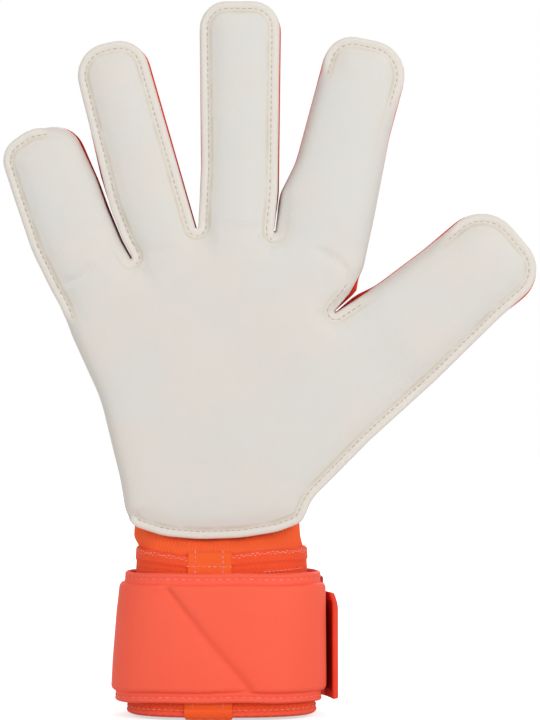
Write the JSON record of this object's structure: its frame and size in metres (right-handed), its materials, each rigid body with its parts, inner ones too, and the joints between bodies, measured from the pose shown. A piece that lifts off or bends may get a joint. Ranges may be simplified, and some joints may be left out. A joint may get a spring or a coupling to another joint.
{
  "type": "goalkeeper glove",
  "caption": "Right-hand goalkeeper glove with a smooth latex palm, gusseted fingers that bend, an elastic cuff and a padded wrist strap with a peel-off closing tab.",
  "frame": {"origin": "centre of the wrist opening at the hem of the cuff", "axes": "+Z from the wrist towards the fingertips, -Y is where the palm faces, +X towards the thumb"},
  "size_m": [0.2046, 0.0615, 0.2768],
  "materials": {
    "latex": "smooth matt latex foam, off-white",
    "gusset": "soft stretch fabric, dark coral",
    "backhand": "matt embossed foam laminate, coral",
    "lining": "brushed towelling, pale grey",
    "knit": "fine ribbed elastic knit, orange red",
    "mesh": "open mesh fabric, orange red",
    "binding": "folded fabric binding, coral",
    "tape": "flat woven ribbon, orange",
    "strap": "smooth matt padded laminate, coral",
    "loop": "loop pile, dark red",
    "hook": "moulded hooks, dark red",
    "thread": "sewing thread, pale coral",
    "edge_thread": "sewing thread, beige"
  },
  "bodies": {
    "cuff": {"knit_band": "knit", "wrist_sleeve": "mesh", "cuff_lining": "lining", "hem_binding": "binding", "pull_tape": "tape", "strap_band": "strap", "strap_pad": "strap", "loop_field": "loop"},
    "hand": {"palm_latex": "latex", "palm_gusset": "gusset", "palm_back": "backhand", "palm_lining": "lining", "punch_pad": "backhand"},
    "tab": {"closing_tab": "strap", "hook_patch": "hook", "tab_grip": "mesh"},
    "thumb_base": {"thumb_base_latex": "latex", "thumb_base_gusset": "gusset", "thumb_base_back": "backhand", "thumb_base_lining": "lining"},
    "thumb_tip": {"thumb_tip_latex": "latex", "thumb_tip_gusset": "gusset", "thumb_tip_back": "backhand", "thumb_tip_lining": "lining"},
    "index_base": {"index_base_latex": "latex", "index_base_gusset": "gusset", "index_base_back": "backhand", "index_base_lining": "lining"},
    "index_tip": {"index_tip_latex": "latex", "index_tip_gusset": "gusset", "index_tip_back": "backhand", "index_tip_lining": "lining"},
    "middle_base": {"middle_base_latex": "latex", "middle_base_gusset": "gusset", "middle_base_back": "backhand", "middle_base_lining": "lining"},
    "middle_tip": {"middle_tip_latex": "latex", "middle_tip_gusset": "gusset", "middle_tip_back": "backhand", "middle_tip_lining": "lining"},
    "ring_base": {"ring_base_latex": "latex", "ring_base_gusset": "gusset", "ring_base_back": "backhand", "ring_base_lining": "lining"},
    "ring_tip": {"ring_tip_latex": "latex", "ring_tip_gusset": "gusset", "ring_tip_back": "backhand", "ring_tip_lining": "lining"},
    "little_base": {"little_base_latex": "latex", "little_base_gusset": "gusset", "little_base_back": "backhand", "little_base_lining": "lining"},
    "little_tip": {"little_tip_latex": "latex", "little_tip_gusset": "gusset", "little_tip_back": "backhand", "little_tip_lining": "lining"}
  },
  "joints": [
    {"name": "wrist_flex", "type": "hinge", "parent": "cuff", "child": "hand", "pos_m": [0, 0, 0.064], "axis": [1, 0, 0], "range_deg": [-30, 30], "stiffness_Nm_per_rad": 0.9, "deforming": ["knit_band"]},
    {"name": "thumb_knuckle_bend", "type": "hinge", "parent": "hand", "child": "thumb_base", "pos_m": [0.07218, -0.015, 0.15074], "axis": [0.6494, 0, -0.7604], "range_deg": [0, 50], "stiffness_Nm_per_rad": 0.12},
    {"name": "thumb_middle_bend", "type": "hinge", "parent": "thumb_base", "child": "thumb_tip", "pos_m": [0.09196, -0.015, 0.16763], "axis": [0.6494, 0, -0.7604], "range_deg": [0, 60], "stiffness_Nm_per_rad": 0.08},
    {"name": "index_knuckle_bend", "type": "hinge", "parent": "hand", "child": "index_base", "pos_m": [0.04056, -0.015, 0.19556], "axis": [0.9659, 0, -0.2588], "range_deg": [0, 60], "stiffness_Nm_per_rad": 0.12},
    {"name": "index_middle_bend", "type": "hinge", "parent": "index_base", "child": "index_tip", "pos_m": [0.04781, -0.015, 0.2226], "axis": [0.9659, 0, -0.2588], "range_deg": [0, 70], "stiffness_Nm_per_rad": 0.08},
    {"name": "middle_knuckle_bend", "type": "hinge", "parent": "hand", "child": "middle_base", "pos_m": [0.0072, -0.015, 0.201], "axis": [1, 0, 0], "range_deg": [0, 60], "stiffness_Nm_per_rad": 0.12},
    {"name": "middle_middle_bend", "type": "hinge", "parent": "middle_base", "child": "middle_tip", "pos_m": [0.0072, -0.015, 0.233], "axis": [1, 0, 0], "range_deg": [0, 70], "stiffness_Nm_per_rad": 0.08},
    {"name": "ring_knuckle_bend", "type": "hinge", "parent": "hand", "child": "ring_base", "pos_m": [-0.02491, -0.015, 0.19496], "axis": [0.9583, 0, 0.2857], "range_deg": [0, 60], "stiffness_Nm_per_rad": 0.12},
    {"name": "ring_middle_bend", "type": "hinge", "parent": "ring_base", "child": "ring_tip", "pos_m": [-0.03263, -0.015, 0.22083], "axis": [0.9583, 0, 0.2857], "range_deg": [0, 70], "stiffness_Nm_per_rad": 0.08},
    {"name": "little_knuckle_bend", "type": "hinge", "parent": "hand", "child": "little_base", "pos_m": [-0.05312, -0.015, 0.17872], "axis": [0.9018, 0, 0.4321], "range_deg": [0, 60], "stiffness_Nm_per_rad": 0.12},
    {"name": "little_middle_bend", "type": "hinge", "parent": "little_base", "child": "little_tip", "pos_m": [-0.06219, -0.015, 0.19766], "axis": [0.9018, 0, 0.4321], "range_deg": [0, 70], "stiffness_Nm_per_rad": 0.08},
    {"name": "strap_peel", "type": "hinge", "parent": "cuff", "child": "tab", "pos_m": [-0.0205, 0.02966, 0.02748], "axis": [0, -0.0656, 0.9978], "range_deg": [0, 130]}
  ]
}
